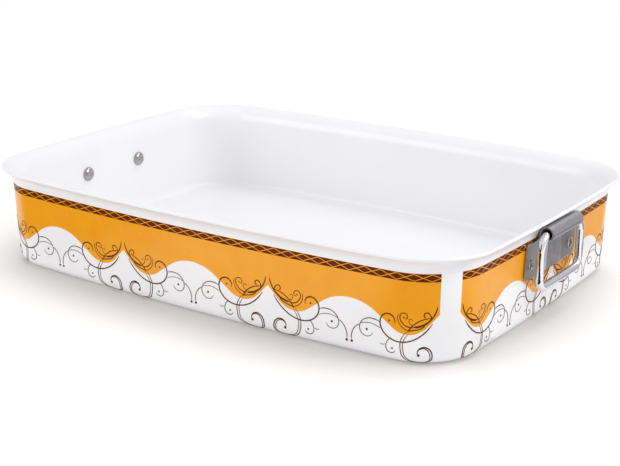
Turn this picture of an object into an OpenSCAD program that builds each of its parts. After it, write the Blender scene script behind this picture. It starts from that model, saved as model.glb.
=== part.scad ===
// Deep rectangular roasting pan: one pressed and coated aluminium shell with
// bowed sides, round corners and a flared lip. Each short end carries a stamped
// steel bracket, held by two rivets, and a drop handle bent from chromed rod
// that swings in the bracket's curl.
//
// Millimetres. X runs along the pan, Y across it, Z up. The origin is the
// middle of the base's underside.

/* [Pan] */
// Length over the lip
rim_length = 400; // [320:1:480]
// Width over the lip
rim_width = 287; // [230:1:340]
// Height from the base to the top of the lip
pan_height = 71.5; // [66:0.5:95]
// Thickness of the pressed and coated sheet
wall_t = 2.5; // [1.6:0.1:3.5]
// Corner radius in plan, on the outside of the wall just under the lip
corner_r = 42; // [34:1:55]
// How far each long side bows out from corner to corner
bow_long = 5.6; // [2:0.1:9]
// How far each short side bows out from corner to corner
bow_short = 2.1; // [1:0.1:4]
// Lean of the walls from upright, in degrees
draft = 2.2; // [1:0.1:4]
// Outside radius of the bend between wall and base
base_r = 8; // [5:0.5:12]
// How far the lip stands out from the wall
lip_w = 7.8; // [7:0.1:9]
// How far the lip leans out at its edge, in degrees from upright
lip_angle = 63; // [56:1:70]

/* [Bracket] */
// Thickness of the stamped steel
sheet_t = 1.1; // [0.8:0.1:1.4]
// Width over the two ears
bracket_w = 74; // [70:1:80]
// Height of the bracket's foot above the base
bracket_foot = 33.3; // [30:0.1:36]
// Radius of the ears' corners
ear_r = 4; // [2:0.5:5]
// Width of the raised panel's flat front
panel_w = 20; // [14:1:26]
// How far the panel is pressed out of the ears' plane
panel_rise = 2.1; // [1.6:0.1:3]
// Width of the slope on each side of the panel
panel_slope = 3.6; // [3:0.1:4.5]
// How far the panel's foot stops above the ears' feet
panel_foot = 1.6; // [0.5:0.1:3]
// Height of the neck that leads from the ears up to the curl
neck_h = 5; // [4:0.1:7]
// How far each end of the curl runs past the start of the handle's bend
curl_past = 3.3; // [2:0.1:4]
// Angle left open between the curl's free edge and the neck, in degrees
curl_slit = 42; // [30:1:55]
// Gap between the curl and the lip's bend above it
lip_gap = 0.4; // [0.3:0.1:0.8]

/* [Handle] */
// Diameter of the rod
rod_d = 5.4; // [4.6:0.1:5.6]
// Width over the two side bars
handle_w = 65.2; // [62:0.2:68]
// Drop from the swing axis to the middle of the hand bar
handle_drop = 34.8; // [32:0.1:38]
// Inside radius of the two bends beside the curl
upper_bend_r = 7.8; // [7:0.1:9]
// Inside radius of the two bends beside the hand bar
lower_bend_r = 4.2; // [3:0.1:6]
// Gap round the rod inside the curl
swing_gap = 1.1; // [0.9:0.1:1.3]

/* [Rivets] */
// Distance from each end of the bracket to the middle of its rivet
rivet_inset = 7.5; // [6.5:0.5:8.5]
// Height of the rivets above the base
rivet_height = 42.4; // [40:0.1:45]
// Diameter of the shank
shank_d = 4.4; // [3:0.1:5]
// Diameter of the domed head inside the pan
head_in_d = 11; // [8:0.5:12]
// Height of the domed head inside the pan
head_in_h = 3.2; // [2:0.1:4]
// Diameter of the flatter head on the bracket
head_out_d = 8; // [6:0.5:9]
// Height of the flatter head on the bracket
head_out_h = 1.6; // [1:0.1:2]

/* [Fits] */
// Gap between flat pieces that are riveted together
seat_gap = 0.06; // [0.02:0.01:0.1]
// Gap round a shank in its hole
hole_gap = 0.06; // [0.02:0.01:0.1]

/* [Hidden] */

// Facets of a full turn: for small rounds, and for the walls' very wide arcs.
round_facets = 96;
wide_facets = 1800;
// Steps along each bend of the sheet's section.
bend_steps = 9;

// How far a cut runs past what it cuts.
overrun = wall_t;

// The lip in section, seen along the wall: u runs outwards from the wall's
// outer line under the lip and z up. The lip is one bend about [lip_u, lip_z],
// from the wall's line to the lip's angle, and ends in a full round.
lip_bend_r = (lip_w - wall_t / 2 * (1 - cos(lip_angle))) / (cos(draft) - cos(lip_angle));
lip_u = lip_bend_r * cos(draft);
lip_z = pan_height - wall_t / 2 - (lip_bend_r + wall_t / 2) * sin(lip_angle);
wall_top = lip_z + lip_bend_r * sin(draft);
// The wall's outer line met with the base plane, and the base bend's middle.
wall_foot_u = -wall_top * tan(draft);
base_u = wall_foot_u + base_r * (tan(draft) - 1 / cos(draft));

// The wall's outline in plan just under the lip: two wide arcs each way, met by
// corner arcs that touch both.
half_l = rim_length / 2 - lip_w;
half_w = rim_width / 2 - lip_w;
long_r = arc_radius(half_l - corner_r, bow_long);
short_r = arc_radius(half_w - corner_r, bow_short);
long_c = half_w - long_r;
short_c = half_l - short_r;
// The corner's middle lies on a circle about each wide arc's middle.
c_dist = norm([short_c, long_c]);
c_long = long_r - corner_r;
c_short = short_r - corner_r;
c_along = (c_long * c_long - c_short * c_short + c_dist * c_dist) / (2 * c_dist);
c_off = sqrt(c_long * c_long - c_along * c_along);
corner_x = (c_along * short_c - c_off * long_c) / c_dist;
corner_y = long_c + (-c_along * long_c - c_off * short_c) / c_dist;
// Half the sweep of the long and of the short sides' arcs.
long_sweep = atan2(corner_x, corner_y - long_c);
short_sweep = atan2(corner_y, corner_x - short_c);
// Direction of the middle of a corner's arc.
corner_middle = (90 - long_sweep + short_sweep) / 2;

// The bracket stands on the wall in a frame of its own: x away from the wall,
// z up the wall, from the point where the lip's bend starts.
bore_r = rod_d / 2 + swing_gap;
curl_r = bore_r + sheet_t;
pivot_out = seat_gap + panel_rise + curl_r;
// Here the lip's bend is an arc about [lip_bend_r, 0], and the curl lies
// against its inside with the named gap.
curl_reach = lip_bend_r - lip_gap - curl_r;
curl_in = lip_bend_r - pivot_out;
pivot_up = sqrt(max(0, curl_reach * curl_reach - curl_in * curl_in));
foot_up = (bracket_foot - wall_top) / cos(draft);
rivet_up = (rivet_height - wall_top) / cos(draft);
rivet_pitch = bracket_w - 2 * rivet_inset;
neck_up = pivot_up - neck_h;
// The handle's side bars and bends, and the curl that ends at the bends.
side_y = handle_w / 2 - rod_d / 2;
upper_r = upper_bend_r + rod_d / 2;
lower_r = lower_bend_r + rod_d / 2;
curl_l = 2 * (side_y - upper_r + curl_past);

// Radius of the arc that bows by a given rise over half a chord.
function arc_radius(half_chord, rise) =
    (half_chord * half_chord + rise * rise) / (2 * rise);

// How far the bowed end wall falls back at a distance across from its middle.
function wall_sag(across) = short_r - sqrt(short_r * short_r - across * across);

// Points along an arc, from one direction to another.
function arc_points(centre, radius, from, to, steps) =
    [for (i = [0 : steps])
        centre + radius * [cos(from + (to - from) * i / steps),
                           sin(from + (to - from) * i / steps)]];

// Section of the pressed sheet, from the corners' middles under the base, round
// the base bend, up the wall, round the lip's edge and back inside.
module shell_section() {
    base_c = [base_u, base_r];
    lip_c = [lip_u, lip_z];
    edge_c = lip_c + (lip_bend_r + wall_t / 2) * [-cos(lip_angle), sin(lip_angle)];
    polygon(concat(
        [[-corner_r, 0]],
        arc_points(base_c, base_r, -90, -draft, bend_steps),
        arc_points(lip_c, lip_bend_r, 180 - draft, 180 - lip_angle, bend_steps),
        arc_points(edge_c, wall_t / 2, -lip_angle, 180 - lip_angle, bend_steps),
        arc_points(lip_c, lip_bend_r + wall_t, 180 - lip_angle, 180 - draft, bend_steps),
        arc_points(base_c, base_r - wall_t, -draft, -90, bend_steps),
        [[-corner_r, wall_t]]
    ));
}

// The middle of a corner's arc, at the end and side named by their signs, and
// points far out on the two lines through it at which the corner's arc ends.
function corner(end, side) = [end * corner_x, side * corner_y];
function past_long(end, side) =
    corner(end, side) + rim_length * [end * sin(long_sweep), side * cos(long_sweep)];
function past_short(end, side) =
    corner(end, side) + rim_length * [end * cos(short_sweep), side * sin(short_sweep)];

// One stretch of wall: the section turned about the middle of its plan arc, a
// little too far each way, and cut back to its wedge of the plan.
module wall_arc(centre, radius, middle, half_sweep, facets, wedge) {
    spare = asin(overrun / radius);
    intersection() {
        translate([centre[0], centre[1], 0])
            rotate([0, 0, middle - half_sweep - spare])
                rotate_extrude(angle = 2 * (half_sweep + spare), $fn = facets)
                    translate([radius, 0])
                        shell_section();
        translate([0, 0, -overrun])
            linear_extrude(height = pan_height + 2 * overrun)
                polygon(wedge);
    }
}

// The base inside the walls' bends, which reaches a little under each wall.
module base_plate() {
    reach = corner_r - 2 * overrun;
    linear_extrude(height = wall_t)
        intersection_for (side = [1, -1])
            intersection() {
                translate([0, side * long_c])
                    circle(r = long_r - reach, $fn = wide_facets);
                translate([side * short_c, 0])
                    circle(r = short_r - reach, $fn = wide_facets);
            }
}

module pan_shell() {
    color("white")
        difference() {
            union() {
                for (side = [1, -1]) {
                    wall_arc([0, side * long_c], long_r, side * 90, long_sweep,
                             wide_facets,
                             [corner(-1, side), corner(1, side),
                              past_long(1, side), past_long(-1, side)]);
                    wall_arc([side * short_c, 0], short_r, 90 - side * 90, short_sweep,
                             wide_facets,
                             [corner(side, -1), corner(side, 1),
                              past_short(side, 1), past_short(side, -1)]);
                    for (end = [1, -1])
                        wall_arc(corner(end, side), corner_r,
                                 side * (90 - end * (90 - corner_middle)),
                                 (90 - long_sweep - short_sweep) / 2, round_facets,
                                 [corner(end, side), past_long(end, side),
                                  past_short(end, side)]);
                }
                base_plate();
            }
            for (end = [1, -1]) on_end(end)
                for (side = [1, -1])
                    rivet_axis(side)
                        translate([0, 0, -wall_t - overrun])
                            cylinder(d = shank_d + 2 * hole_gap, h = wall_t + 2 * overrun,
                                     $fn = round_facets / 2);
        }
}

// Puts its children on an end wall, in the bracket's frame.
module on_end(end) {
    mirror([end > 0 ? 0 : 1, 0, 0])
        translate([half_l, 0, wall_top])
            rotate([0, draft, 0])
                children();
}

// Puts its children on a rivet's axis, pointing out of the pan from the wall.
module rivet_axis(side) {
    translate([0, side * rivet_pitch / 2, rivet_up])
        rotate([0, 90, 0])
            children();
}

// Outline of the ears and panel, seen from outside: x across, y up the wall.
module bracket_outline() {
    height = neck_up - foot_up;
    difference() {
        union() {
            for (side = [1, -1]) for (at = [foot_up + ear_r, neck_up - ear_r])
                translate([side * (bracket_w / 2 - ear_r), at])
                    circle(r = ear_r, $fn = round_facets / 2);
            translate([-bracket_w / 2 + ear_r, foot_up])
                square([bracket_w - 2 * ear_r, height]);
            translate([-bracket_w / 2, foot_up + ear_r])
                square([bracket_w, height - 2 * ear_r]);
        }
        translate([-panel_w / 2, foot_up - overrun])
            square([panel_w, panel_foot + overrun]);
    }
}

// The ears and the raised panel in plan: x away from the wall, y across.
module bracket_plan() {
    inner = panel_w / 2;
    outer = inner + panel_slope;
    edge = [[0, -bracket_w], [0, -outer], [panel_rise, -inner],
            [panel_rise, inner], [0, outer], [0, bracket_w]];
    polygon(concat(
        [for (p = edge) p + [seat_gap, 0]],
        [for (i = [len(edge) - 1 : -1 : 0]) edge[i] + [seat_gap + sheet_t, 0]]
    ));
}

module bracket() {
    color("silver")
        difference() {
            union() {
                intersection() {
                    translate([0, 0, foot_up - overrun])
                        linear_extrude(height = neck_up - foot_up + overrun)
                            bracket_plan();
                    rotate([90, 0, 90])
                        linear_extrude(height = panel_rise + sheet_t + overrun)
                            bracket_outline();
                }
                neck_and_curl();
            }
            for (side = [1, -1])
                rivet_axis(side)
                    cylinder(d = shank_d + 2 * hole_gap, h = panel_rise + overrun,
                             $fn = round_facets / 2);
        }
}

// A ring in section.
module ring(inner, outer) {
    difference() {
        circle(r = outer, $fn = round_facets);
        circle(r = inner, $fn = round_facets);
    }
}

// The neck and the curl, drawn in section across the swing axis.
module neck_and_curl() {
    back = seat_gap + panel_rise;
    translate([0, curl_l / 2, 0])
        rotate([90, 0, 0])
            linear_extrude(height = curl_l)
                union() {
                    polygon([[seat_gap, neck_up - sheet_t],
                             [seat_gap + sheet_t, neck_up - sheet_t],
                             [seat_gap + sheet_t, neck_up],
                             [back + sheet_t, pivot_up - sheet_t],
                             [back + sheet_t, pivot_up], [back, pivot_up],
                             [back, pivot_up - sheet_t], [seat_gap, neck_up]]);
                    difference() {
                        translate([pivot_out, pivot_up])
                            ring(bore_r, curl_r);
                        translate([pivot_out, pivot_up])
                            polygon([[0, 0], curl_r * [-2, 0],
                                     2 * curl_r * [-cos(curl_slit), -sin(curl_slit)]]);
                    }
                }
    // The panel goes straight up into the back of the curl.
    translate([back, -panel_w / 2, neck_up - sheet_t])
        cube([sheet_t, panel_w, neck_h + sheet_t]);
}

module bracket_left() { on_end(-1) bracket(); }

module bracket_right() { on_end(1) bracket(); }

// A low dome with a flat underside at z = 0.
module dome(d, h) {
    r = arc_radius(d / 2, h);
    rotate_extrude($fn = round_facets)
        intersection() {
            translate([0, h - r])
                circle(r = r, $fn = round_facets);
            square([d, h]);
        }
}

module rivet(side) {
    out = seat_gap + sheet_t + seat_gap;
    in = seat_gap + wall_t + wall_sag(rivet_pitch / 2 + head_in_d / 2);
    color("silver")
        rivet_axis(side)
            union() {
                translate([0, 0, -in])
                    cylinder(d = shank_d, h = in + out, $fn = round_facets / 2);
                translate([0, 0, out])
                    dome(head_out_d, head_out_h);
                translate([0, 0, -in])
                    mirror([0, 0, 1])
                        dome(head_in_d, head_in_h);
            }
}

module rivet_left_front() { on_end(-1) rivet(-1); }

module rivet_left_back() { on_end(-1) rivet(1); }

module rivet_right_front() { on_end(1) rivet(-1); }

module rivet_right_back() { on_end(1) rivet(1); }

// A quarter bend of the rod in the plane of the handle: it leaves the point
// [0, r] going outwards along y and ends at [r, 0] going down along z.
module rod_bend(r) {
    rotate([90, 0, 90])
        rotate_extrude(angle = 90, $fn = round_facets)
            translate([r, 0])
                circle(d = rod_d, $fn = round_facets / 2);
}

// The handle hangs from the swing axis, which runs along y through [0, 0, 0].
module bail() {
    color("gainsboro")
        union() {
            // The bar in the curl and the hand bar.
            rod_y(side_y - upper_r, 0);
            rod_y(side_y - lower_r, -handle_drop);
            // The side bars and their bends.
            for (side = [0, 1]) mirror([0, side, 0]) {
                translate([0, side_y, lower_r - handle_drop])
                    cylinder(d = rod_d, h = handle_drop - lower_r - upper_r,
                             $fn = round_facets / 2);
                translate([0, side_y - upper_r, -upper_r])
                    rod_bend(upper_r);
                translate([0, side_y - lower_r, lower_r - handle_drop])
                    mirror([0, 0, 1])
                        rod_bend(lower_r);
            }
        }
}

// A straight rod across the handle, reaching to +-reach at height z.
module rod_y(reach, z) {
    translate([0, reach, z])
        rotate([90, 0, 0])
            cylinder(d = rod_d, h = 2 * reach, $fn = round_facets / 2);
}

// Puts the handle on its swing axis. It hangs plumb, so it isn't tilted.
module on_axis(end) {
    mirror([end > 0 ? 0 : 1, 0, 0])
        translate([half_l + pivot_out * cos(draft) + pivot_up * sin(draft), 0,
                   wall_top - pivot_out * sin(draft) + pivot_up * cos(draft)])
            children();
}

module bail_left() { on_axis(-1) bail(); }

module bail_right() { on_axis(1) bail(); }

pan_shell();
bracket_left();
bracket_right();
rivet_left_front();
rivet_left_back();
rivet_right_front();
rivet_right_back();
bail_left();
bail_right();
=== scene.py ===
import math

import bmesh
import bpy
import numpy as np
from mathutils import Matrix, Vector


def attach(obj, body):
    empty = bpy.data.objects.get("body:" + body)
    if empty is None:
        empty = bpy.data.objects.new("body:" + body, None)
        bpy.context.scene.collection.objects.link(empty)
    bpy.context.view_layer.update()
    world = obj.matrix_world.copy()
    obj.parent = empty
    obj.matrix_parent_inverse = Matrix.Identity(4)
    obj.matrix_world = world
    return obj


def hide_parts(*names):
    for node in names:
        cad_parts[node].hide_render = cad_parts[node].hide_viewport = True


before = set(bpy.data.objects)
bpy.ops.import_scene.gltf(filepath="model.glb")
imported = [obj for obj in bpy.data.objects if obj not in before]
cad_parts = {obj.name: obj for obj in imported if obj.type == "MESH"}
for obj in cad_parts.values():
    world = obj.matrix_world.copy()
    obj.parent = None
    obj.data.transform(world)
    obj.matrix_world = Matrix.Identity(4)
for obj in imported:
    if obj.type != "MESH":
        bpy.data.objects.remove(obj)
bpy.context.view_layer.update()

# Lengths are millimetres until a mesh is made, and angles are radians, written as degrees
# times DEG. X runs along the pan, Y across it and Z up, from the middle of the base's
# underside. A quarter turn is used so often that it has a name.
MM = 0.001
DEG = math.pi / 180
QUARTER = math.pi / 2

# The pan, as its CAD source has it.
RIM_LENGTH = 400
RIM_WIDTH = 287
PAN_HEIGHT = 71.5
WALL_T = 2.5
CORNER_R = 42
BOW_LONG = 5.6
BOW_SHORT = 2.1
DRAFT = 2.2 * DEG
BASE_R = 8
LIP_W = 7.8
LIP_ANGLE = 63 * DEG

# The bracket.
SHEET_T = 1.1
BRACKET_W = 74
BRACKET_FOOT = 33.3
EAR_R = 4
PANEL_W = 20
PANEL_RISE = 2.1
PANEL_SLOPE = 3.6
PANEL_FOOT = 1.6
NECK_H = 5
CURL_PAST = 3.3
CURL_SLIT = 42 * DEG
LIP_GAP = 0.4

# The handle and the rivets.
ROD_D = 5.4
HANDLE_W = 65.2
HANDLE_DROP = 34.8
UPPER_BEND_R = 7.8
LOWER_BEND_R = 4.2
SWING_GAP = 1.1
RIVET_INSET = 7.5
RIVET_HEIGHT = 42.4
SHANK_D = 4.4
HEAD_IN_D = 11
HEAD_IN_H = 3.2
HEAD_OUT_D = 8
HEAD_OUT_H = 1.6
SEAT_GAP = 0.06


def arc_radius(half_chord, rise):
    """Radius of the arc that bows by a rise over half a chord: (h^2 + rise^2) / (2 rise)."""
    return (half_chord * half_chord + rise * rise) / (2 * rise)


# The lip is one bend about [LIP_U, LIP_Z], where u is measured out from the wall's outline.
LIP_R = (LIP_W - WALL_T / 2 * (1 - math.cos(LIP_ANGLE))) / (math.cos(DRAFT) - math.cos(LIP_ANGLE))
LIP_U = LIP_R * math.cos(DRAFT)
LIP_Z = PAN_HEIGHT - WALL_T / 2 - (LIP_R + WALL_T / 2) * math.sin(LIP_ANGLE)
WALL_TOP = LIP_Z + LIP_R * math.sin(DRAFT)
BASE_U = -WALL_TOP * math.tan(DRAFT) + BASE_R * (math.tan(DRAFT) - 1 / math.cos(DRAFT))
WALL_FOOT = BASE_R - BASE_R * math.sin(DRAFT)

# The outline in plan just under the lip: wide arcs for the sides, met by corner arcs.
HALF_L = RIM_LENGTH / 2 - LIP_W
HALF_W = RIM_WIDTH / 2 - LIP_W
LONG_R = arc_radius(HALF_L - CORNER_R, BOW_LONG)
SHORT_R = arc_radius(HALF_W - CORNER_R, BOW_SHORT)
LONG_C = HALF_W - LONG_R
SHORT_C = HALF_L - SHORT_R
CENTRES = math.hypot(SHORT_C, LONG_C)
FROM_LONG = LONG_R - CORNER_R
FROM_SHORT = SHORT_R - CORNER_R
ALONG = (FROM_LONG ** 2 - FROM_SHORT ** 2 + CENTRES ** 2) / (2 * CENTRES)
ASIDE = math.sqrt(FROM_LONG ** 2 - ALONG ** 2)
CORNER_X = (ALONG * SHORT_C - ASIDE * LONG_C) / CENTRES
CORNER_Y = LONG_C + (-ALONG * LONG_C - ASIDE * SHORT_C) / CENTRES
LONG_SWEEP = math.atan2(CORNER_X, CORNER_Y - LONG_C)
SHORT_SWEEP = math.atan2(CORNER_Y, CORNER_X - SHORT_C)
CORNER_SWEEP = QUARTER - LONG_SWEEP - SHORT_SWEEP

# The outline's arcs from the middle of the front side, counter-clockwise seen from
# above: middle, radius, first direction and sweep. Each wide arc's middle lies far behind
# it, so the front's is at -LONG_C.
ARCS = [
    (0, -LONG_C, LONG_R, -QUARTER, LONG_SWEEP),
    (CORNER_X, -CORNER_Y, CORNER_R, LONG_SWEEP - QUARTER, CORNER_SWEEP),
    (SHORT_C, 0, SHORT_R, -SHORT_SWEEP, 2 * SHORT_SWEEP),
    (CORNER_X, CORNER_Y, CORNER_R, SHORT_SWEEP, CORNER_SWEEP),
    (0, LONG_C, LONG_R, QUARTER - LONG_SWEEP, 2 * LONG_SWEEP),
    (-CORNER_X, CORNER_Y, CORNER_R, QUARTER + LONG_SWEEP, CORNER_SWEEP),
    (-SHORT_C, 0, SHORT_R, 2 * QUARTER - SHORT_SWEEP, 2 * SHORT_SWEEP),
    (-CORNER_X, -CORNER_Y, CORNER_R, 2 * QUARTER + SHORT_SWEEP, CORNER_SWEEP),
    (0, -LONG_C, LONG_R, 3 * QUARTER - LONG_SWEEP, LONG_SWEEP),
]
ARC_MIDDLES = np.array([arc[:2] for arc in ARCS], float)
ARC_RADII = np.array([arc[2] for arc in ARCS], float)
ARC_STARTS = np.array([arc[3] for arc in ARCS])
ARC_SWEEPS = np.array([arc[4] for arc in ARCS])
ARC_BOUNDS = np.concatenate([[0], np.cumsum(ARC_RADII * ARC_SWEEPS)])
GIRTH = ARC_BOUNDS[-1]

# The bracket stands on the end wall in a frame of its own: out from the wall, across,
# and up the wall from the line where the lip's bend starts.
BORE_R = ROD_D / 2 + SWING_GAP
CURL_R = BORE_R + SHEET_T
PIVOT_OUT = SEAT_GAP + PANEL_RISE + CURL_R
CURL_REACH = LIP_R - LIP_GAP - CURL_R
PIVOT_UP = math.sqrt(CURL_REACH ** 2 - (LIP_R - PIVOT_OUT) ** 2)
FOOT_UP = (BRACKET_FOOT - WALL_TOP) / math.cos(DRAFT)
RIVET_UP = (RIVET_HEIGHT - WALL_TOP) / math.cos(DRAFT)
NECK_UP = PIVOT_UP - NECK_H
SIDE_Y = HANDLE_W / 2 - ROD_D / 2
UPPER_R = UPPER_BEND_R + ROD_D / 2
LOWER_R = LOWER_BEND_R + ROD_D / 2
CURL_L = 2 * (SIDE_Y - UPPER_R + CURL_PAST)
RIVET_PITCH = BRACKET_W - 2 * RIVET_INSET


def outline(s):
    """Point and outward direction at arc length s along the outline just under the lip.
    On an arc about c with radius r the point is c + r (cos a, sin a)."""
    s = np.mod(s, GIRTH)
    arc = np.clip(np.searchsorted(ARC_BOUNDS, s, side="right") - 1, 0, len(ARCS) - 1)
    angle = ARC_STARTS[arc] + (s - ARC_BOUNDS[arc]) / ARC_RADII[arc]
    outward = np.stack([np.cos(angle), np.sin(angle)], -1)
    return ARC_MIDDLES[arc] + ARC_RADII[arc][..., None] * outward, outward


def wall_section(v, proud):
    """Out (u) and up (z) of the wall's outside at height v along its surface, raised by
    proud. The surface leans by the draft, and by v's arc length over the bend's radius
    more below the wall's foot and above its top; its normal is (cos lean, -sin lean)."""
    below = np.maximum(WALL_FOOT - v, 0) / BASE_R
    above = np.maximum(v - WALL_TOP, 0) / LIP_R
    lean = DRAFT + below + above
    on_wall = np.clip(v, WALL_FOOT, WALL_TOP)
    u = -(WALL_TOP - on_wall) * math.tan(DRAFT)
    z = on_wall + 0.0
    u = np.where(below > 0, BASE_U + BASE_R * np.cos(lean), u)
    z = np.where(below > 0, BASE_R - BASE_R * np.sin(lean), z)
    u = np.where(above > 0, LIP_U - LIP_R * np.cos(lean), u)
    z = np.where(above > 0, LIP_Z + LIP_R * np.sin(lean), z)
    return u + proud * np.cos(lean), z - proud * np.sin(lean)


def on_wall(s, v, proud):
    """Points on the outside wall: the outline's point plus u along its outward direction."""
    point, outward = outline(s)
    u, z = wall_section(v, proud)
    return np.concatenate([point + u[..., None] * outward, z[..., None]], -1)


def on_end(end, points):
    """Turns (out, across, up) of the bracket's frame to pan coordinates on the end named
    by its sign: a turn by the draft about Y, then a mirror for the left end."""
    out, across, up = np.moveaxis(np.asarray(points, float), -1, 0)
    x = HALF_L + out * math.cos(DRAFT) + up * math.sin(DRAFT)
    z = WALL_TOP - out * math.sin(DRAFT) + up * math.cos(DRAFT)
    return np.stack([end * x, across, z], -1)


def quads(rows, columns, close_rows=False, close_columns=False):
    """Four corners of every cell of a grid of points numbered row by row. A closed
    direction joins its last line to its first."""
    row = np.arange(rows if close_rows else rows - 1)
    column = np.arange(columns if close_columns else columns - 1)
    next_row = (row + 1) % rows
    next_column = (column + 1) % columns
    corners = [
        row[:, None] * columns + column,
        row[:, None] * columns + next_column,
        next_row[:, None] * columns + next_column,
        next_row[:, None] * columns + column,
    ]
    return np.stack(corners, -1).reshape(-1, 4)


def join(parts):
    """Several (points, faces) as one, each part's faces counted on from the points before.
    Faces are a list of arrays, one for each number of corners."""
    points = np.concatenate([part[0] for part in parts])
    starts = np.cumsum([0] + [len(part[0]) for part in parts])
    faces = [group + start for start, part in zip(starts, parts) for group in part[1]]
    return points, faces


def two_ends(first, last, corners):
    """The flat ends of a closed form: the loop that starts at point first, turned over, and
    the loop that starts at point last."""
    corner = np.arange(corners)
    return np.stack([first + corner[::-1], last + corner])


def loft(loops, closed):
    """A closed profile carried along a path: one loop of points for each step. Open
    paths get flat ends. Loops turn left-handed about the path, so faces look out."""
    steps, corners = loops.shape[:2]
    faces = [quads(steps, corners, closed, True)]
    if not closed:
        faces.append(two_ends(0, (steps - 1) * corners, corners))
    return loops.reshape(-1, 3), faces


# Edges sharper than this stay sharp.
CREASE = 40 * DEG


def make_piece(name, points, faces, material, body, nodes=()):
    """Puts points and faces into a mesh, merges points that coincide, gives the piece
    its material and its body, and hides the CAD nodes that it stands for."""
    mesh = bpy.data.meshes.new(name)
    polygons = [polygon for group in faces for polygon in group.tolist()]
    mesh.from_pydata((np.asarray(points, float) * MM).tolist(), [], polygons)
    merge_points(mesh)
    mesh.shade_smooth()
    mesh.set_sharp_from_angle(angle=CREASE)
    mesh.materials.append(material)
    piece = bpy.data.objects.new(name, mesh)
    bpy.context.scene.collection.objects.link(piece)
    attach(piece, body)
    if nodes:
        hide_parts(*nodes)
    return piece


SAME_POINT = 0.001


def merge_points(mesh):
    """Merges points closer than a micrometre, which closes seams and poles."""
    work = bmesh.new()
    work.from_mesh(mesh)
    bmesh.ops.remove_doubles(work, verts=work.verts, dist=SAME_POINT * MM)
    work.to_mesh(mesh)
    work.free()


# Materials.


def linear(hex_colour):
    """An sRGB hex colour as linear red, green, blue and alpha."""
    values = np.array([int(hex_colour[i:i + 2], 16) for i in (1, 3, 5)]) / 255
    low = values / 12.92
    high = ((values + 0.055) / 1.055) ** 2.4
    return (*np.where(values <= 0.04045, low, high).tolist(), 1.0)


def node(tree, kind, settings=None, inputs=None):
    """Adds a node, sets its settings, and links or sets each named input."""
    made = tree.nodes.new(kind)
    for name, value in (settings or {}).items():
        setattr(made, name, value)
    for name, value in (inputs or {}).items():
        if isinstance(value, bpy.types.NodeSocket):
            tree.links.new(value, made.inputs[name])
        else:
            made.inputs[name].default_value = value
    return made


def start_material(name):
    """A material with an empty node tree."""
    material = bpy.data.materials.new(name)
    material.use_nodes = True
    material.node_tree.nodes.clear()
    return material, material.node_tree


def patterned_surface(name, tones, roughness, relief, fixed):
    """A material with three patterns, each a noise given by its size in millimetres, its
    detail and its stretch along each axis. tones are two hex colours and the pattern that
    mixes them, roughness is a low and a high value and the pattern between them, relief is
    a depth in millimetres and the pattern that rises and falls by it, and fixed are the
    shader's other inputs."""
    material, tree = start_material(name)
    place = node(tree, "ShaderNodeTexCoord").outputs["Object"]
    noises = {}
    for pattern in dict.fromkeys([tones[-1], roughness[-1], relief[-1]]):
        size, detail, stretch = pattern
        scale = [1000 / size / along for along in stretch]
        scaled = node(tree, "ShaderNodeMapping", inputs={"Vector": place, "Scale": scale})
        noise = node(tree, "ShaderNodeTexNoise", inputs={
            "Vector": scaled.outputs["Vector"], "Scale": 1.0, "Detail": detail})
        noises[pattern] = noise.outputs["Fac"]

    def spread(pattern, low, high):
        """Noise lies mostly between 0.3 and 0.7: this maps that stretch to low and high."""
        mapped = node(tree, "ShaderNodeMapRange", inputs={
            "Value": noises[pattern], "From Min": 0.3, "From Max": 0.7,
            "To Min": low, "To Max": high})
        return mapped.outputs["Result"]

    colour = node(tree, "ShaderNodeMix", {"data_type": "RGBA"}, {
        0: spread(tones[2], 0, 1), 6: linear(tones[0]), 7: linear(tones[1])})
    wavering = node(tree, "ShaderNodeBump", inputs={
        "Height": noises[relief[1]], "Distance": relief[0] * MM, "Strength": 1.0})
    shader = node(tree, "ShaderNodeBsdfPrincipled", inputs={
        "Base Color": colour.outputs[2],
        "Roughness": spread(roughness[2], roughness[0], roughness[1]),
        "Normal": wavering.outputs["Normal"],
        **fixed})
    node(tree, "ShaderNodeOutputMaterial", inputs={"Surface": shader.outputs["BSDF"]})
    return material


EVEN = (1, 1, 1)
GLAZE_IOR = 1.5
# The coat's faint orange peel, which the ink fired onto it follows.
COAT_PEEL = (0.02, (3.5, 2.0, EVEN))

# White ceramic coat, sprayed and fired. It gives a bright, slightly cool white with soft
# gloss, and an orange peel that wavers the highlights.
coat = patterned_surface(
    "fired_ceramic_coat",
    ("#F5F5F8", "#F8F8FA", (70, 3.0, EVEN)),
    (0.2, 0.27, (25, 3.0, EVEN)),
    COAT_PEEL,
    {"IOR": GLAZE_IOR},
)


def fired_ink(name, first, second, low, high, gloss):
    """Transfer ink fired onto the coat. It gives a flat strong colour, a little mottled
    where it pooled, with the given share of the coat's own gloss."""
    return patterned_surface(
        name,
        (first, second, (14, 4.0, EVEN)),
        (low, high, (9, 3.0, EVEN)),
        COAT_PEEL,
        {"IOR": GLAZE_IOR, "Specular IOR Level": gloss / 2},
    )


orange_ink = fired_ink("fired_orange_ink", "#F5A004", "#F8A70C", 0.2, 0.28, 1.0)
brown_ink = fired_ink("fired_brown_ink", "#5E2406", "#6B2E0A", 0.3, 0.38, 0.15)
umber_ink = fired_ink("fired_umber_ink", "#542C18", "#60361E", 0.3, 0.38, 0.15)

# Stainless sheet brushed up and down before it was stamped. It gives a soft grey metal
# with fine streaks. The real streaks are finer than a tenth of a millimetre and are drawn
# about six times as coarse, so that they show.
BRUSHING = (0.7, 3.0, (1, 1, 30))
stainless = patterned_surface(
    "brushed_stainless",
    ("#A3A1A4", "#BEBDBF", BRUSHING),
    (0.26, 0.4, BRUSHING),
    (0.012, BRUSHING),
    {"Metallic": 1.0},
)

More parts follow.
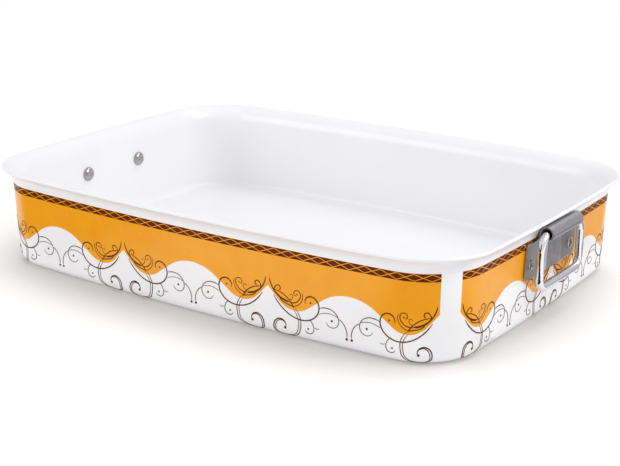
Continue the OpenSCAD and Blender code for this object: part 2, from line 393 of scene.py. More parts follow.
# Rivets of polished steel. They give small bright domes with a soft dark side.
rivet_steel = patterned_surface(
    "polished_steel",
    ("#A29E9C", "#BAB6B4", (2, 3.0, EVEN)),
    (0.12, 0.2, (1.2, 3.0, EVEN)),
    (0.01, (1.5, 3.0, EVEN)),
    {"Metallic": 1.0},
)

# Steel rod, bent and chromed. It gives mirror bands with a slight waver from the drawn
# rod under the plating.
chrome = patterned_surface(
    "chromed_rod",
    ("#E6E6EA", "#F0F0F2", (8, 3.0, EVEN)),
    (0.05, 0.11, (4, 3.0, EVEN)),
    (0.015, (5, 3.0, EVEN)),
    {"Metallic": 1.0},
)


# The pan.


def turned(middle, radius, first, last, steps):
    """Points on an arc in the wall's section, from one direction to another."""
    angle = np.linspace(first, last, steps + 1)
    return np.stack([middle[0] + radius * np.cos(angle), middle[1] + radius * np.sin(angle)], -1)


# The coat's edge is drawn this much inside the true lip, to stay in the solids' box.
EDGE_TRIM = 0.05
# Steps of the section, and steps round the pan along its sides and in its corners.
BASE_STEPS = 12
WALL_ROWS = 24
LIP_STEPS = 14
EDGE_STEPS = 10
SIDE_STEP = 3.2
CORNER_STEP = 1.7
# How far out from the middle each ring of the base lies, as a share of the way.
BASE_RINGS = np.array([0, 0.12, 0.3, 0.5, 0.7, 0.85, 0.94, 0.98])


def shell_profile():
    """The pressed sheet in section, out (u) and up (z): from the base's underside round the
    base bend, up the wall, round the lip's edge and back down inside."""
    base = (BASE_U, BASE_R)
    lip = (LIP_U, LIP_Z)
    middle_r = LIP_R + WALL_T / 2
    edge = (LIP_U - middle_r * math.cos(LIP_ANGLE) - EDGE_TRIM,
            LIP_Z + middle_r * math.sin(LIP_ANGLE))
    half = 2 * QUARTER
    rows = np.linspace(WALL_FOOT, WALL_TOP, WALL_ROWS)[1:-1]
    return np.concatenate([
        turned(base, BASE_R, -QUARTER, -DRAFT, BASE_STEPS),
        np.stack(wall_section(rows, 0), -1),
        turned(lip, LIP_R, half - DRAFT, half - LIP_ANGLE, LIP_STEPS),
        turned(edge, WALL_T / 2, -LIP_ANGLE, half - LIP_ANGLE, EDGE_STEPS)[1:],
        turned(lip, LIP_R + WALL_T, half - LIP_ANGLE, half - DRAFT, LIP_STEPS)[1:],
        np.stack(wall_section(rows[::-1], -WALL_T), -1),
        turned(base, BASE_R - WALL_T, -DRAFT, -QUARTER, BASE_STEPS),
    ])


def outline_steps():
    """Arc lengths round the pan, set closer in the corners than along the sides."""
    stops = []
    for arc, radius in enumerate(ARC_RADII):
        step = CORNER_STEP if radius == CORNER_R else SIDE_STEP
        low, high = ARC_BOUNDS[arc], ARC_BOUNDS[arc + 1]
        count = int(math.ceil((high - low) / step))
        stops.append(np.linspace(low, high, count, endpoint=False))
    return np.concatenate(stops)


def pan_shell():
    """Rings round the pan, one for each point of the section. Inside the base bend the
    rings shrink towards the middle and end in a pole, above and below."""
    point, outward = outline(outline_steps())

    def ring(u, z):
        flat = point + u * outward
        return np.concatenate([flat, np.full((len(flat), 1), z)], -1)

    def plate(z, shares):
        flat = shares[:, None, None] * (point + BASE_U * outward)
        return np.concatenate([flat, np.full(flat.shape[:2] + (1,), z)], -1)

    rings = np.stack([ring(u, z) for u, z in shell_profile()])
    rings = np.concatenate([plate(0, BASE_RINGS), rings, plate(WALL_T, BASE_RINGS[::-1])])
    faces = [quads(rings.shape[0], rings.shape[1], False, True)]
    make_piece("coated_shell", rings.reshape(-1, 3), faces, coat, "pan",
               ["pan_shell"])


pan_shell()

# The printed band: a valance of lobes and arches under a strip of lattice. x is the
# distance along the wall from a cusp, where two lobes meet, and v the height up the wall.
HALF_MOTIF = 60.4
BAND_TOP = 59.7
LOBE_X = 20.2
LOBE_LOW = 20.0
LOBE_R = 17.0
CUSP_FLANK = 46 * DEG
ARCH_TOP = 37.2
ARCH_R = 33.0
ARCH_FLANK = 36 * DEG
# Where the cusps stand along the outline, on the front panel and on the right one. The
# back and left panels are the same after half a turn.
LONG_CUSPS = np.array([-184, -58.5, 62.5, 180.8])
SHORT_CUSPS = np.array([194.6, 308.4, 422.2])
PANELS = [LONG_CUSPS, SHORT_CUSPS, LONG_CUSPS + GIRTH / 2, SHORT_CUSPS + GIRTH / 2]
# Steps along each motif of the hem, and rows between the hem and the band's top.
HEM_STEPS = 96
GROUND_ROWS = 15
# How far each print stands on the coat, and how far its back is sunk into it.
GROUND_PROUD = 0.06
LATTICE_PROUD = 0.11
SCROLL_PROUD = 0.15
SUNK = -0.15


def hem(x):
    """Height of the valance's lower edge: a flank from the cusp, a round lobe, a second
    flank and a round arch. The flanks join where they touch the rounds."""
    lobe_v = LOBE_LOW + LOBE_R
    arch_v = ARCH_TOP - ARCH_R
    leave_cusp = LOBE_X - LOBE_R * math.sin(CUSP_FLANK)
    leave_lobe = LOBE_X + LOBE_R * math.sin(ARCH_FLANK)
    meet_arch = HALF_MOTIF - ARCH_R * math.sin(ARCH_FLANK)
    low = lobe_v - LOBE_R * math.cos(CUSP_FLANK)
    cusp = low + (leave_cusp - x) * math.tan(CUSP_FLANK)
    lobe = lobe_v - np.sqrt(np.maximum(LOBE_R ** 2 - (x - LOBE_X) ** 2, 0))
    arch = arch_v + np.sqrt(np.maximum(ARCH_R ** 2 - (x - HALF_MOTIF) ** 2, 0))
    from_v = lobe_v - LOBE_R * math.cos(ARCH_FLANK)
    to_v = arch_v + ARCH_R * math.cos(ARCH_FLANK)
    flank = from_v + (x - leave_lobe) * (to_v - from_v) / (meet_arch - leave_lobe)
    return np.select([x < leave_cusp, x < leave_lobe, x < meet_arch], [cusp, lobe, flank], arch)


def between_cusps(cusps, steps):
    """Even steps from cusp to cusp along a panel: places on the outline, and the same
    places counted in motifs from the first cusp."""
    motifs = len(cusps) - 1
    motif = np.linspace(0, motifs, motifs * steps + 1)
    return np.interp(motif, np.arange(motifs + 1), cusps), motif


def band_ground():
    """The orange ground: at each step along the wall a thin profile runs up the front
    from the hem to the band's top and down again under the coat."""
    parts = []
    share = np.linspace(0, 1, GROUND_ROWS)
    for cusps in PANELS:
        along, motif = between_cusps(cusps, HEM_STEPS)
        low = hem(HALF_MOTIF * (1 - np.abs(2 * np.mod(motif, 1) - 1)))
        front = low[:, None] + share * (BAND_TOP - low[:, None])
        v = np.concatenate([front, front[:, ::-2]], 1)
        proud = np.concatenate([np.full(front.shape, GROUND_PROUD),
                                np.full(front[:, ::-2].shape, SUNK)], 1)
        s = np.repeat(along[:, None], v.shape[1], 1)
        parts.append(loft(on_wall(s, v, proud)[::-1], False))
    points, faces = join(parts)
    make_piece("band_ground", points, faces, orange_ink, "pan")


# The lattice: two zigzag lines that cross at mid-height and leave brown cells. Each cell is
# drawn from an odd number of points along the wall.
LATTICE_LOW = 54.3
LATTICE_MARGIN = 0.15
CELLS_PER_MOTIF = 11
CELL_POINTS = 11
LATTICE_LINE = 0.5
ZIGZAG_HALF = 2.2


def flat_shapes(shapes, proud):
    """Thin closed plates on the wall from outlines in (s, v), all with the same count of
    corners and drawn counter-clockwise seen from outside."""
    shapes = np.asarray(shapes)
    count, corners = shapes.shape[:2]
    front = on_wall(shapes[..., 0], shapes[..., 1], np.full(shapes.shape[:2], proud))
    back = on_wall(shapes[..., 0], shapes[..., 1], np.full(shapes.shape[:2], SUNK))
    points = np.stack([back, front], 1).reshape(-1, 3)
    starts = 2 * corners * np.arange(count)[:, None, None]
    edges = (starts + quads(2, corners, False, True)).reshape(-1, 4)
    sides = (starts + two_ends(0, corners, corners)).reshape(-1, corners)
    return points, [edges, sides]


def strip(s, low, high, proud):
    """A thin closed strip from low to high at each s, on the coat and sunk into it."""
    v = np.stack([low, high, high, low], 1)
    heights = np.tile([proud, proud, SUNK, SUNK], (len(s), 1))
    return loft(on_wall(np.repeat(s[:, None], 4, 1), v, heights)[::-1], False)


def band_lattice():
    """Brown diamonds between the crossings and triangles above and below each crossing,
    all set back from the lines' middles by half a line. Each is drawn in narrow steps
    along the wall, so that it lies on the round corners."""
    parts = []
    middle_v = (LATTICE_LOW + BAND_TOP) / 2
    edge_v = (BAND_TOP - LATTICE_LOW) / 2 - LATTICE_MARGIN
    spread_points = np.linspace(-1, 1, CELL_POINTS)
    middle_point = CELL_POINTS // 2
    for cusps in PANELS:
        crossings = between_cusps(cusps, CELLS_PER_MOTIF)[0]
        halves = np.diff(crossings) / 2
        for cell, half in enumerate(halves):
            slope = ZIGZAG_HALF / half
            tip = ZIGZAG_HALF - LATTICE_LINE / 2 * math.hypot(1, slope)
            diamond = spread_points * tip / slope
            rise = tip - slope * np.abs(diamond)
            parts.append(strip(crossings[cell] + half + diamond, middle_v - rise,
                               middle_v + rise, LATTICE_PROUD))
        for crossing, place in enumerate(crossings):
            slope = ZIGZAG_HALF / halves[min(crossing, len(halves) - 1)]
            back = LATTICE_LINE / 2 * math.hypot(1, slope)
            triangle = spread_points * (edge_v - back) / slope
            if crossing == 0:
                triangle = triangle[middle_point:]
            if crossing == len(halves):
                triangle = triangle[:middle_point + 1]
            near = back + slope * np.abs(triangle)
            far = np.full(len(near), edge_v)
            parts.append(strip(place + triangle, middle_v + near, middle_v + far,
                               LATTICE_PROUD))
            parts.append(strip(place + triangle, middle_v - far, middle_v - near,
                               LATTICE_PROUD))
    points, faces = join(parts)
    make_piece("band_lattice", points, faces, brown_ink, "pan")


# The scrollwork of half a motif, drawn as a smith lays out scrolls: each stroke runs
# round an eye, and its distance from the eye changes smoothly with the angle. An eye is
# given as x from the cusp and height v, and angles here are degrees.
STROKE_STEP = 0.7
STROKE_LEAST_STEPS = 6
VOLUTE_POINTS = 90
KNOT_POINTS = 24
# A stroke's ends have this share of its width, which grows by so much over its length.
TIP_SHARE = 0.35
TIP_GROWTH = 8


def volute(eye, start, sweep, inner, more, ease, width, end_width):
    """A stroke whose radius is inner + more exp(-turned / ease)."""
    angle = np.linspace(0, sweep, VOLUTE_POINTS)
    radius = inner + more * np.exp(-np.abs(angle) / ease)
    return stroke_path(eye, (start + angle) * DEG, radius, width, end_width)


def scroll(eye, knots, width, end_width):
    """A stroke whose radius passes smoothly through (angle, radius) knots: a cubic between
    each two, with the slope at a knot taken across its neighbours."""
    knots = np.array(knots, float)
    position = np.arange(len(knots))
    at = np.linspace(0, len(knots) - 1, KNOT_POINTS * (len(knots) - 1) + 1)
    slopes = np.gradient(knots, axis=0)
    low = np.minimum(at.astype(int), len(knots) - 2)
    t = (at - position[low])[:, None]
    smooth = ((2 * t ** 3 - 3 * t ** 2 + 1) * knots[low]
              + (t ** 3 - 2 * t ** 2 + t) * slopes[low]
              + (3 * t ** 2 - 2 * t ** 3) * knots[low + 1]
              + (t ** 3 - t ** 2) * slopes[low + 1])
    return stroke_path(eye, smooth[:, 0] * DEG, smooth[:, 1], width, end_width)


def stroke_path(eye, angle, radius, width, end_width):
    """Even steps along the curve eye + radius (cos angle, sin angle), with its widths."""
    curve = np.stack([eye[0] + radius * np.cos(angle), eye[1] + radius * np.sin(angle)], -1)
    run = np.concatenate([[0], np.cumsum(np.linalg.norm(np.diff(curve, axis=0), axis=1))])
    count = max(STROKE_LEAST_STEPS, int(run[-1] / STROKE_STEP))
    even = np.linspace(0, run[-1], count)
    path = np.stack([np.interp(even, run, curve[:, 0]), np.interp(even, run, curve[:, 1])], -1)
    share = even / run[-1]
    widths = width + (end_width - width) * share
    from_tip = np.minimum(share, 1 - share)
    return path, widths * np.minimum(1, TIP_SHARE + TIP_GROWTH * from_tip)


STROKES = [
    # The rail that follows the lobe's edge and rolls up beside it.
    volute((32.3, 27.4), -181, 376, 3.8, 24.2, 76, 0.75, 0.85),
    # The scroll under the arch's flank, and its two outer stems.
    volute((47.9, 18.7), 144, -306, 4.4, 6.9, 60, 0.6, 0.35),
    scroll((45, 0), [(107, 22.3), (89, 23.3), (71.5, 23)], 0.35, 0.35),
    scroll((50.5, 11), [(76, 10.3), (53, 9.5), (27, 8.7), (-7, 8.3)], 0.5, 0.5),
    # The small scroll under the lobe and its tail.
    volute((31, 9.9), 88, -245, 3.2, 3.4, 40, 0.5, 0.45),
    scroll((37.2, 14.5), [(-124, 3.4), (-93, 3.5), (-63, 3.3)], 0.45, 0.3),
    # The leaf and the hooks between the cusp and the lobe.
    scroll((17, 41), [(-173, 15.7), (-133, 15.7), (-93, 15.7)], 0.6, 1.4),
    scroll((17, 41), [(-119, 16.5), (-107, 17.3), (-93, 17.7), (-81.5, 18.6)], 0.6, 0.7),
    scroll((7.9, 32.9), [(-60, 1.2), (-8, 1.7), (40, 2.1), (90, 2.1), (152, 2.1), (207, 2.9),
                         (232, 3.6)], 0.75, 0.6),
    scroll((4, 14), [(84, 17.6), (55, 17.6), (25, 17.6)], 0.6, 0.8),
    scroll((22.3, 31.2), [(-135.5, 8.6), (-105.7, 5.9), (-67.6, 3.7), (-8.4, 2.7), (40.6, 2.8),
                          (88, 2.8), (136.5, 2.6), (177.5, 2.3), (217.6, 1.6), (252, 0.95)],
           0.75, 0.5),
    scroll((22.3, 31.2), [(-110, 8.95), (-82, 6.8), (-43.5, 5.0), (-2.5, 4.2), (28, 3.9)],
           0.55, 0.4),
    scroll((18, 29.6), [(-113, 3.4), (-69, 1.9), (-5, 1.2), (80, 1.1), (149, 1.15), (204, 1.2)],
           0.45, 0.35),
]
# The large scroll by the foot of the cusp: angle and radius about its eye, and how far
# inside its line a second one runs, as far as the knots where the two have met.
LARGE_EYE = (9, 7.5)
LARGE_SCROLL = np.array([
    (51.6, 18.5, 1.8), (29, 17.5, 1.8), (7.3, 15.7, 1.8), (-8, 14.4, 1.7), (-25.3, 12.2, 1.4),
    (-50.6, 9.5, 0.9), (-90, 7.5, 0.7), (-128.7, 6.4, 1.1), (-174.5, 5.2, 1.5),
    (-225.8, 4.9, 1.3), (-275.6, 5.1, 0.8), (-323, 4.9, 0.3), (-353.5, 4.4, 0), (-366, 3.9, 0),
])
UNTIL_MET = LARGE_SCROLL[:12]
STROKES.append(scroll(LARGE_EYE, LARGE_SCROLL[:, :2], 0.5, 0.9))
STROKES.append(scroll(LARGE_EYE, UNTIL_MET[:, :2] - UNTIL_MET[:, 2:] * (0, 1), 0.45, 0.6))
DOT_CORNERS = 14
# Dots at the eyes and stroke ends: x, v and radius.
DOTS = [(32.3, 27.6, 0.6), (47.9, 18.7, 0.75), (30.3, 9.8, 0.6), (58.6, 8.8, 0.85),
        (22.3, 31.2, 0.5), (12.7, 7.2, 0.9)]
# Each stroke lies this much lower than the one before, so that none share a surface.
STROKE_STAGGER = 0.003


def ribbon(s, v, widths, proud):
    """A thin strip carried along (s, v): at each step four corners, half the width to each
    side of the path, on the coat and sunk into it."""
    along = np.stack([np.gradient(s), np.gradient(v)], -1)
    along /= np.linalg.norm(along, axis=1)[:, None]
    side_s = -along[:, 1] * widths / 2
    side_v = along[:, 0] * widths / 2
    corners_s = np.stack([s + side_s, s + side_s, s - side_s, s - side_s], 1)
    corners_v = np.stack([v + side_v, v + side_v, v - side_v, v - side_v], 1)
    heights = np.tile([SUNK, proud, proud, SUNK], (len(s), 1))
    return loft(on_wall(corners_s, corners_v, heights), False)


def band_scrolls():
    """The scrollwork of every half motif, to the right and left of each cusp."""
    parts = []
    dots = []
    round_dot = np.linspace(0, 4 * QUARTER, DOT_CORNERS, endpoint=False)
    dot = np.stack([np.cos(round_dot), np.sin(round_dot)], -1)
    for cusps in PANELS:
        for cusp, next_cusp in [*zip(cusps, cusps[1:]), *zip(cusps[1:], cusps)]:
            stretch = (next_cusp - cusp) / 2 / HALF_MOTIF
            for number, (path, widths) in enumerate(STROKES):
                parts.append(ribbon(cusp + stretch * path[:, 0], path[:, 1], widths,
                                    SCROLL_PROUD - STROKE_STAGGER * number))
            for x, v, radius in DOTS:
                dots.append(np.array([cusp + stretch * x, v]) + radius * dot)
    parts.append(flat_shapes(dots, SCROLL_PROUD))
    points, faces = join(parts)
    make_piece("band_scrolls", points, faces, umber_ink, "pan")


band_ground()
band_lattice()
band_scrolls()


# The brackets.

# Columns of the sheet as far as the curl reaches, from there to the ear's end and round its
# corner, and rows of the plate, the neck and the curl.
CURL_COLUMNS = 40
EAR_COLUMNS = 6
TIP_COLUMNS = 9
PLATE_ROWS = 24
NECK_ROWS = 10
CURL_ROWS = 54
# The cut edges are rounded by this much.
CUT_ROUNDING = 0.22
CUT_ANGLE = 50 * DEG


def smooth_step(t):
    """Rises from 0 to 1 as 3 t^2 - 2 t^3."""
    t = np.clip(t, 0, 1)
    return t * t * (3 - 2 * t)


def bracket_sheet():
    """The stamped sheet's middle surface, as (out, across, up) rows over columns. Rows run
    up the ears and panel, up the neck and round the curl. The sheet stands out by the
    panel's rise times 1 - (1 - panel) (1 - neck), and the curl is an arc about the swing
    axis. Columns past the curl's ends stop at the neck."""
    ear = BRACKET_W / 2 - EAR_R
    tip = ear + EAR_R * np.sin(np.linspace(0, QUARTER, TIP_COLUMNS))
    half = np.concatenate([np.linspace(0, CURL_L / 2, CURL_COLUMNS),
                           np.linspace(CURL_L / 2, ear, EAR_COLUMNS)[1:], tip[1:]])
    across = np.concatenate([-half[:0:-1], half])
    size = np.abs(across)
    rounding = EAR_R - np.sqrt(np.maximum(EAR_R ** 2 - np.maximum(size - ear, 0) ** 2, 0))
    inner = PANEL_W / 2
    panel = smooth_step((inner + PANEL_SLOPE - size) / PANEL_SLOPE)
    low = FOOT_UP + rounding + PANEL_FOOT * panel
    high = NECK_UP - rounding
    share = np.linspace(0, 1, PLATE_ROWS)[:, None]
    plate_up = low + share * (high - low)
    neck_up = np.linspace(NECK_UP, PIVOT_UP, NECK_ROWS)[1:, None] + 0 * across
    up = np.concatenate([plate_up, neck_up])
    neck = smooth_step((up - NECK_UP + SHEET_T) / NECK_H)
    standing = PANEL_RISE * (1 - (1 - panel) * (1 - neck))
    out = SEAT_GAP + SHEET_T / 2 + standing
    rows = np.stack([out, across + 0 * up, up], -1)
    angle = np.linspace(2 * QUARTER, CURL_SLIT - 2 * QUARTER, CURL_ROWS)[1:, None]
    radius = BORE_R + SHEET_T / 2
    curl = np.stack([PIVOT_OUT + radius * np.cos(angle) + 0 * across,
                     across + 0 * angle,
                     PIVOT_UP + radius * np.sin(angle) + 0 * across], -1)
    return np.concatenate([rows, curl]), across


def bracket(end, name, stands_for):
    """The sheet's middle surface given its thickness, with rounded cut edges."""
    rows, across = bracket_sheet()
    faces = quads(rows.shape[0], rows.shape[1])
    first_row = faces[:, 0] // rows.shape[1]
    left = faces[:, 0] % rows.shape[1]
    middle = np.abs(across[left] + across[left + 1]) / 2
    faces = faces[(first_row < PLATE_ROWS - 1) | (middle < CURL_L / 2)]
    if end < 0:
        faces = faces[:, ::-1]
    points = on_end(end, rows).reshape(-1, 3)
    used = np.unique(faces)
    number = np.full(len(points), -1)
    number[used] = np.arange(len(used))
    piece = make_piece(name, points[used], [number[faces]], stainless, "pan",
                       [stands_for])
    thick = piece.modifiers.new("sheet", "SOLIDIFY")
    thick.thickness = SHEET_T * MM
    thick.offset = 0
    thick.use_even_offset = True
    edges = piece.modifiers.new("cut_edges", "BEVEL")
    edges.width = CUT_ROUNDING * MM
    edges.segments = 2
    edges.limit_method = "ANGLE"
    edges.angle_limit = CUT_ANGLE


bracket(-1, "stamped_bracket_left", "bracket_left")
bracket(1, "stamped_bracket_right", "bracket_right")


# The rivets.

HEAD_STEPS = 15
ROUND_STEPS = 48


def wall_sag(across):
    """How far the bowed end wall falls back at a distance from its middle."""
    return SHORT_R - math.sqrt(SHORT_R ** 2 - across ** 2)


def rivet(end, side, name, stands_for):
    """A profile turned about the rivet's axis: a half ellipse for the head inside the pan,
    the shank, and a flatter half ellipse on the bracket."""
    inner = -(SEAT_GAP + WALL_T + wall_sag(RIVET_PITCH / 2 + HEAD_IN_D / 2))
    outer = 2 * SEAT_GAP + SHEET_T
    angle = np.linspace(0, QUARTER, HEAD_STEPS)
    head_in = np.stack([HEAD_IN_D / 2 * np.sin(angle), inner - HEAD_IN_H * np.cos(angle)], -1)
    head_out = np.stack([HEAD_OUT_D / 2 * np.cos(angle), outer + HEAD_OUT_H * np.sin(angle)], -1)
    shank = np.array([[SHANK_D / 2, inner], [SHANK_D / 2, outer]])
    profile = np.concatenate([head_in, shank, head_out])
    turn = np.linspace(0, 4 * QUARTER, ROUND_STEPS, endpoint=False)
    radius = profile[:, 0, None]
    points = np.stack([profile[:, 1, None] + 0 * turn,
                       side * RIVET_PITCH / 2 + radius * np.cos(turn),
                       RIVET_UP + radius * np.sin(turn)], -1)
    faces = quads(len(profile), len(turn), False, True)
    if end < 0:
        faces = faces[:, ::-1]
    make_piece(name, on_end(end, points).reshape(-1, 3), [faces], rivet_steel, "pan",
               [stands_for])


rivet(-1, -1, "domed_rivet_left_front", "rivet_left_front")
rivet(-1, 1, "domed_rivet_left_back", "rivet_left_back")
rivet(1, -1, "domed_rivet_right_front", "rivet_right_front")
rivet(1, 1, "domed_rivet_right_back", "rivet_right_back")


# The handles.

ROD_BEND_STEPS = 15
ROD_ROUND_STEPS = 40


def bail_path():
    """The rod's middle line, across and up from the swing axis, and the direction from the
    bend's middle at each point: straight bars joined by quarter turns, closed."""
    corners = [
        ((SIDE_Y - UPPER_R, -UPPER_R), UPPER_R, QUARTER),
        ((SIDE_Y - LOWER_R, LOWER_R - HANDLE_DROP), LOWER_R, 0),
        ((LOWER_R - SIDE_Y, LOWER_R - HANDLE_DROP), LOWER_R, -QUARTER),
        ((UPPER_R - SIDE_Y, -UPPER_R), UPPER_R, -2 * QUARTER),
    ]
    points = []
    headings = []
    for middle, radius, start in corners:
        angle = start - np.linspace(0, QUARTER, ROD_BEND_STEPS)
        points.append(np.stack([middle[0] + radius * np.cos(angle),
                                middle[1] + radius * np.sin(angle)], -1))
        headings.append(angle)
    return np.concatenate(points), np.concatenate(headings)


def bail(end, name, stands_for, body):
    """A circle of the rod's radius carried round the path, facing along it."""
    path, heading = bail_path()
    turn = np.linspace(0, 4 * QUARTER, ROD_ROUND_STEPS, endpoint=False)
    radius = ROD_D / 2
    sideways = radius * np.cos(turn)
    across = path[:, 0, None] + np.cos(heading)[:, None] * sideways
    up = path[:, 1, None] + np.sin(heading)[:, None] * sideways
    out = radius * np.sin(turn) + 0 * up
    pivot_x = HALF_L + PIVOT_OUT * math.cos(DRAFT) + PIVOT_UP * math.sin(DRAFT)
    pivot_z = WALL_TOP - PIVOT_OUT * math.sin(DRAFT) + PIVOT_UP * math.cos(DRAFT)
    points = np.stack([end * (pivot_x + out), across, pivot_z + up], -1)
    faces = quads(points.shape[0], points.shape[1], True, True)
    if end < 0:
        faces = faces[:, ::-1]
    make_piece(name, points.reshape(-1, 3), [faces], chrome, body,
               [stands_for])


bail(-1, "chromed_bail_left", "bail_left", "left_handle")
bail(1, "chromed_bail_right", "bail_right", "right_handle")


# The studio: a white floor, a white room and soft lamps.


def rays_that_see(tree):
    """1 for rays that show a background: from the camera, mirrors and glass."""
    path = node(tree, "ShaderNodeLightPath")
    first = node(tree, "ShaderNodeMath", {"operation": "MAXIMUM"},
                 {0: path.outputs["Is Camera Ray"], 1: path.outputs["Is Glossy Ray"]})
    both = node(tree, "ShaderNodeMath", {"operation": "MAXIMUM"},
                {0: first.outputs[0], 1: path.outputs["Is Transmission Ray"]})
    return both.outputs[0]


# The floor's half width in metres, and how far under the pan it lies.
FLOOR_HALF = 3.0
FLOOR_DROP = 0.05
# Where the pan stands close, the floor's glow sinks to the colour of its shadow. It does so
# between two shares of open room, seen within SHADOW_REACH metres.
FLOOR_GLOW = 0.62
SHADOW_REACH = 0.13
SHADOW_TONE = "#AAA3A1"
SHADOWED = 0.42
OPEN = 0.75
SHADOW_SAMPLES = 16
# The open side that the floor's shading looks to: a little to the right and back.
LIGHT_FROM = (0.04, 0.1, 0.95)


def white_floor():
    """A wide floor a hair under the pan. Light that it throws back is plain diffuse; seen
    directly, a glow lifts it to white where the pan leaves it open to the room."""
    material, tree = start_material("white_paper_floor")
    paper = node(tree, "ShaderNodeBsdfDiffuse", inputs={"Color": linear("#F6F6F6")})
    seen_paper = node(tree, "ShaderNodeBsdfDiffuse", inputs={"Color": linear("#B2B2B2")})
    leaning = node(tree, "ShaderNodeCombineXYZ", inputs=dict(zip("XYZ", LIGHT_FROM)))
    openness = node(tree, "ShaderNodeAmbientOcclusion", {"samples": SHADOW_SAMPLES},
                    {"Distance": SHADOW_REACH, "Normal": leaning.outputs[0]})
    opened = node(tree, "ShaderNodeMapRange",
                  inputs={"Value": openness.outputs["AO"], "From Min": SHADOWED,
                          "From Max": OPEN})
    tone = node(tree, "ShaderNodeMix", {"data_type": "RGBA"},
                {0: opened.outputs["Result"], 6: linear(SHADOW_TONE),
                 7: linear("#FFFFFF")}).outputs[2]
    glow = node(tree, "ShaderNodeEmission", inputs={"Color": tone, "Strength": FLOOR_GLOW})
    seen = node(tree, "ShaderNodeAddShader",
                inputs={0: seen_paper.outputs[0], 1: glow.outputs[0]})
    both = node(tree, "ShaderNodeMixShader",
                inputs={0: rays_that_see(tree), 1: paper.outputs[0], 2: seen.outputs[0]})
    node(tree, "ShaderNodeOutputMaterial", inputs={"Surface": both.outputs[0]})
    half = FLOOR_HALF
    low = -FLOOR_DROP * MM
    mesh = bpy.data.meshes.new("floor")
    corners = [(-half, -half, low), (half, -half, low), (half, half, low), (-half, half, low)]
    mesh.from_pydata(corners, [], [(0, 1, 2, 3)])
    mesh.materials.append(material)
    floor = bpy.data.objects.new("floor", mesh)
    bpy.context.scene.collection.objects.link(floor)


def white_room(strength, mirrored):
    """The world: white to the camera, a little less in mirrors, and an even soft light of
    the given strength elsewhere."""
    world = bpy.data.worlds.new("white_room")
    world.use_nodes = True
    tree = world.node_tree
    tree.nodes.clear()
    white = linear("#FFFFFF")
    light = node(tree, "ShaderNodeBackground", inputs={"Color": white, "Strength": strength})
    to_camera = node(tree, "ShaderNodeLightPath").outputs["Is Camera Ray"]
    brightness = node(tree, "ShaderNodeMapRange",
                      inputs={"Value": to_camera, "To Min": mirrored, "To Max": 1.0})
    seen = node(tree, "ShaderNodeBackground",
                inputs={"Color": white, "Strength": brightness.outputs["Result"]})
    both = node(tree, "ShaderNodeMixShader",
                inputs={0: rays_that_see(tree), 1: light.outputs[0], 2: seen.outputs[0]})
    node(tree, "ShaderNodeOutputWorld", inputs={"Surface": both.outputs[0]})
    bpy.context.scene.world = world


# What the lamps point at, in metres.
PAN_MIDDLE = (0, 0, 0.03)


def soft_lamp(name, place, size, power):
    """A square area lamp in metres and watts, turned to the pan."""
    data = bpy.data.lights.new(name, "AREA")
    data.size = size
    data.energy = power
    lamp = bpy.data.objects.new(name, data)
    lamp.location = place
    aim = Vector(PAN_MIDDLE) - Vector(place)
    lamp.rotation_euler = aim.to_track_quat("-Z", "Y").to_euler()
    bpy.context.scene.collection.objects.link(lamp)


def reflection_card(name, corners, colour):
    """A sheet between four corners in millimetres. Only mirror reflections show it: it is a
    painted reflection, which gives the chrome its dark bands and the brushed steel its grey, and
    darkens what the coat and inks mirror of the floor."""
    material, tree = start_material(name)
    paint = node(tree, "ShaderNodeEmission", inputs={"Color": linear(colour)})
    node(tree, "ShaderNodeOutputMaterial", inputs={"Surface": paint.outputs[0]})
    mesh = bpy.data.meshes.new(name)
    mesh.from_pydata((np.array(corners) * MM).tolist(), [], [(0, 1, 2, 3)])
    mesh.materials.append(material)
    card = bpy.data.objects.new(name, mesh)
    card.visible_camera = False
    card.visible_diffuse = False
    card.visible_transmission = False
    card.visible_shadow = False
    bpy.context.scene.collection.objects.link(card)


# How far the lying cards lie above the floor.
CARD_LIFT = 0.2


def lying_card(name, low, high, colour):
    """A card on the floor between two corners."""
    corners = [(low[0], low[1], CARD_LIFT), (high[0], low[1], CARD_LIFT),
               (high[0], high[1], CARD_LIFT), (low[0], high[1], CARD_LIFT)]
    reflection_card(name, corners, colour)


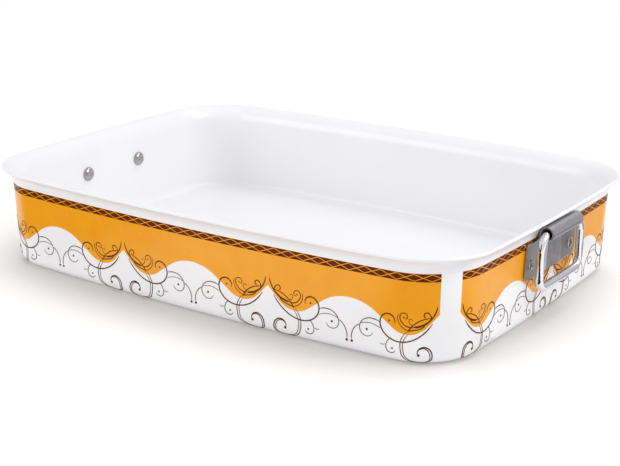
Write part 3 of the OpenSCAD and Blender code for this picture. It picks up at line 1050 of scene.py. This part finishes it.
white_floor()
white_room(0.715, 0.8)
# Painted reflections: sheets that only mirrors show, black before the corner, the handle and the
# left end, and grey beside and behind the handle and the back.
lying_card("black_card_before_the_corner", (105, -340), (345, -165), "#060606")
lying_card("black_card_before_the_handle", (188, -165), (270, -60), "#060606")
reflection_card("standing_black_card_before_the_corner",
                [(150, -345, 0), (350, -345, 0), (350, -345, 300), (150, -345, 300)], "#060606")
lying_card("black_card_before_the_left_end", (-520, -340), (-148, -152), "#060606")
lying_card("half_card_before_the_left_end", (-148, -340), (-102, -152), "#B4B4B4")
lying_card("grey_card_beside_the_handle", (212, 50), (330, 138), "#B2B2B5")
lying_card("dark_card_beside_the_handle", (212, 138), (330, 166), "#68686A")
lying_card("pale_card_beside_the_back", (212, 166), (345, 330), "#C4C4C6")
reflection_card("grey_card_behind_the_handle",
                [(200, 330, 0), (450, 215, 0), (450, 215, 260), (200, 330, 260)], "#CCCCCE")
soft_lamp("front_lamp", (-1.25, -1.75, 0.95), 1.2, 10.2)
soft_lamp("side_lamp", (1.5, 0.2, 1.4), 1.0, 11)
soft_lamp("back_lamp", (0.7, 1.2, 1.9), 0.8, 5)

# The camera at the photograph's viewing angle.
CAMERA_AZIMUTH = 34.56 * DEG
CAMERA_ELEVATION = 17.78 * DEG
CAMERA_ROLL = 0.19 * DEG
CAMERA_TARGET = np.array([14.77, -17.98, 28.44])
CAMERA_DISTANCE = 976.5
CAMERA_LENS = 79.37
SENSOR_WIDTH = 36.0


def photo_camera():
    """A camera that looks back along its azimuth and elevation, rolled about its view."""
    flat = math.cos(CAMERA_ELEVATION)
    back = np.array([math.sin(CAMERA_AZIMUTH) * flat, -math.cos(CAMERA_AZIMUTH) * flat,
                     math.sin(CAMERA_ELEVATION)])
    right = np.cross(-back, [0, 0, 1])
    right /= np.linalg.norm(right)
    up = np.cross(right, -back)
    cosine, sine = math.cos(CAMERA_ROLL), math.sin(CAMERA_ROLL)
    right, up = cosine * right + sine * up, cosine * up - sine * right
    place = (CAMERA_TARGET + CAMERA_DISTANCE * back) * MM
    turned_axes = np.stack([right, up, back], 1)
    matrix = np.eye(4)
    matrix[:3, :3] = turned_axes
    matrix[:3, 3] = place
    data = bpy.data.cameras.new("photo_camera")
    data.sensor_width = SENSOR_WIDTH
    data.lens = CAMERA_LENS
    camera = bpy.data.objects.new("photo_camera", data)
    camera.matrix_world = Matrix(matrix.tolist())
    bpy.context.scene.collection.objects.link(camera)
    bpy.context.scene.camera = camera


photo_camera()
bpy.context.scene.view_settings.view_transform = "Standard"
